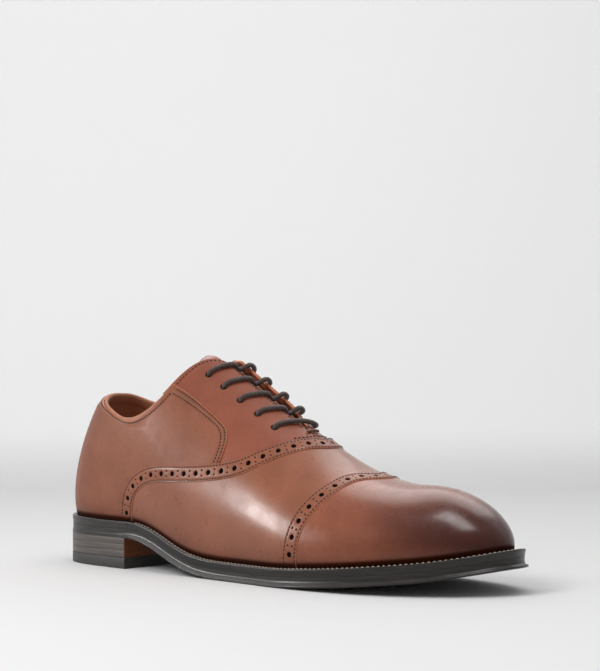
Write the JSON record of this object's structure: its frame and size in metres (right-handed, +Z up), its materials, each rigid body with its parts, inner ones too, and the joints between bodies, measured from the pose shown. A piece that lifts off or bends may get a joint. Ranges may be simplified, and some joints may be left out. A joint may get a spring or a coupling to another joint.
{
  "type": "leather oxford shoe",
  "caption": "Right-foot cap-toe leather oxford shoe with closed lacing, punched seam bands, stitched welt and a low stacked heel.",
  "frame": {"origin": "middle of the shoe's footprint, on the ground plane the heel and the ball of the sole stand on", "axes": "+X from heel to toe, +Y towards the inner side of the foot, +Z up"},
  "size_m": [0.3, 0.1004, 0.1211],
  "materials": {
    "tan_leather": "smooth polished calf",
    "russet_leather": "smooth polished calf",
    "cap_leather": "burnished, high shine",
    "band_leather": "smooth, punched and stitched",
    "binding_leather": "edge dyed",
    "lining_leather": "soft matte lining leather",
    "stiffener_board": "thermoplastic stiffener sheet",
    "blind_eyelet_metal": "plain stamped metal",
    "waxed_lace": "round waxed braid",
    "thread": "waxed thread",
    "insole_board": "leather fibre board",
    "cork": "granulated cork filler",
    "sole_leather": "dyed and waxed edge",
    "heel_stack": "stacked and dyed",
    "top_piece_rubber": "matte rubber",
    "steel": "plain steel"
  },
  "bodies": {
    "shoe": {"quarter_lateral": "tan_leather", "quarter_medial": "tan_leather", "facing_lateral": "russet_leather", "facing_medial": "russet_leather", "quarter_lining_lateral": "lining_leather", "quarter_lining_medial": "lining_leather", "eyelet_lateral_1": "blind_eyelet_metal", "eyelet_lateral_2": "blind_eyelet_metal", "eyelet_lateral_3": "blind_eyelet_metal", "eyelet_lateral_4": "blind_eyelet_metal", "eyelet_lateral_5": "blind_eyelet_metal", "eyelet_medial_1": "blind_eyelet_metal", "eyelet_medial_2": "blind_eyelet_metal", "eyelet_medial_3": "blind_eyelet_metal", "eyelet_medial_4": "blind_eyelet_metal", "eyelet_medial_5": "blind_eyelet_metal", "vamp": "tan_leather", "toe_cap": "cap_leather", "vamp_band": "band_leather", "toe_cap_band": "band_leather", "vamp_lining": "lining_leather", "toe_puff": "stiffener_board", "heel_counter": "stiffener_board", "topline_binding": "binding_leather", "bar_tack": "thread", "lace": "waxed_lace", "insole": "insole_board", "sock_liner": "lining_leather", "outsole": "sole_leather", "cork_filler": "cork", "welt": "sole_leather", "heel_rand": "sole_leather", "shank": "steel", "top_piece": "top_piece_rubber", "heel_lift_1": "heel_stack", "heel_lift_2": "heel_stack", "heel_lift_3": "heel_stack", "heel_nail_1": "steel", "heel_nail_2": "steel", "heel_nail_3": "steel", "heel_nail_4": "steel", "heel_nail_5": "steel"},
    "tongue": {"tongue": "russet_leather"}
  },
  "joints": [
    {"name": "tongue_tilt", "type": "hinge", "parent": "shoe", "child": "tongue", "pos_m": [0.0184, 0, 0.0742], "axis": [0, -1, 0], "range_deg": [0, 12]}
  ]
}
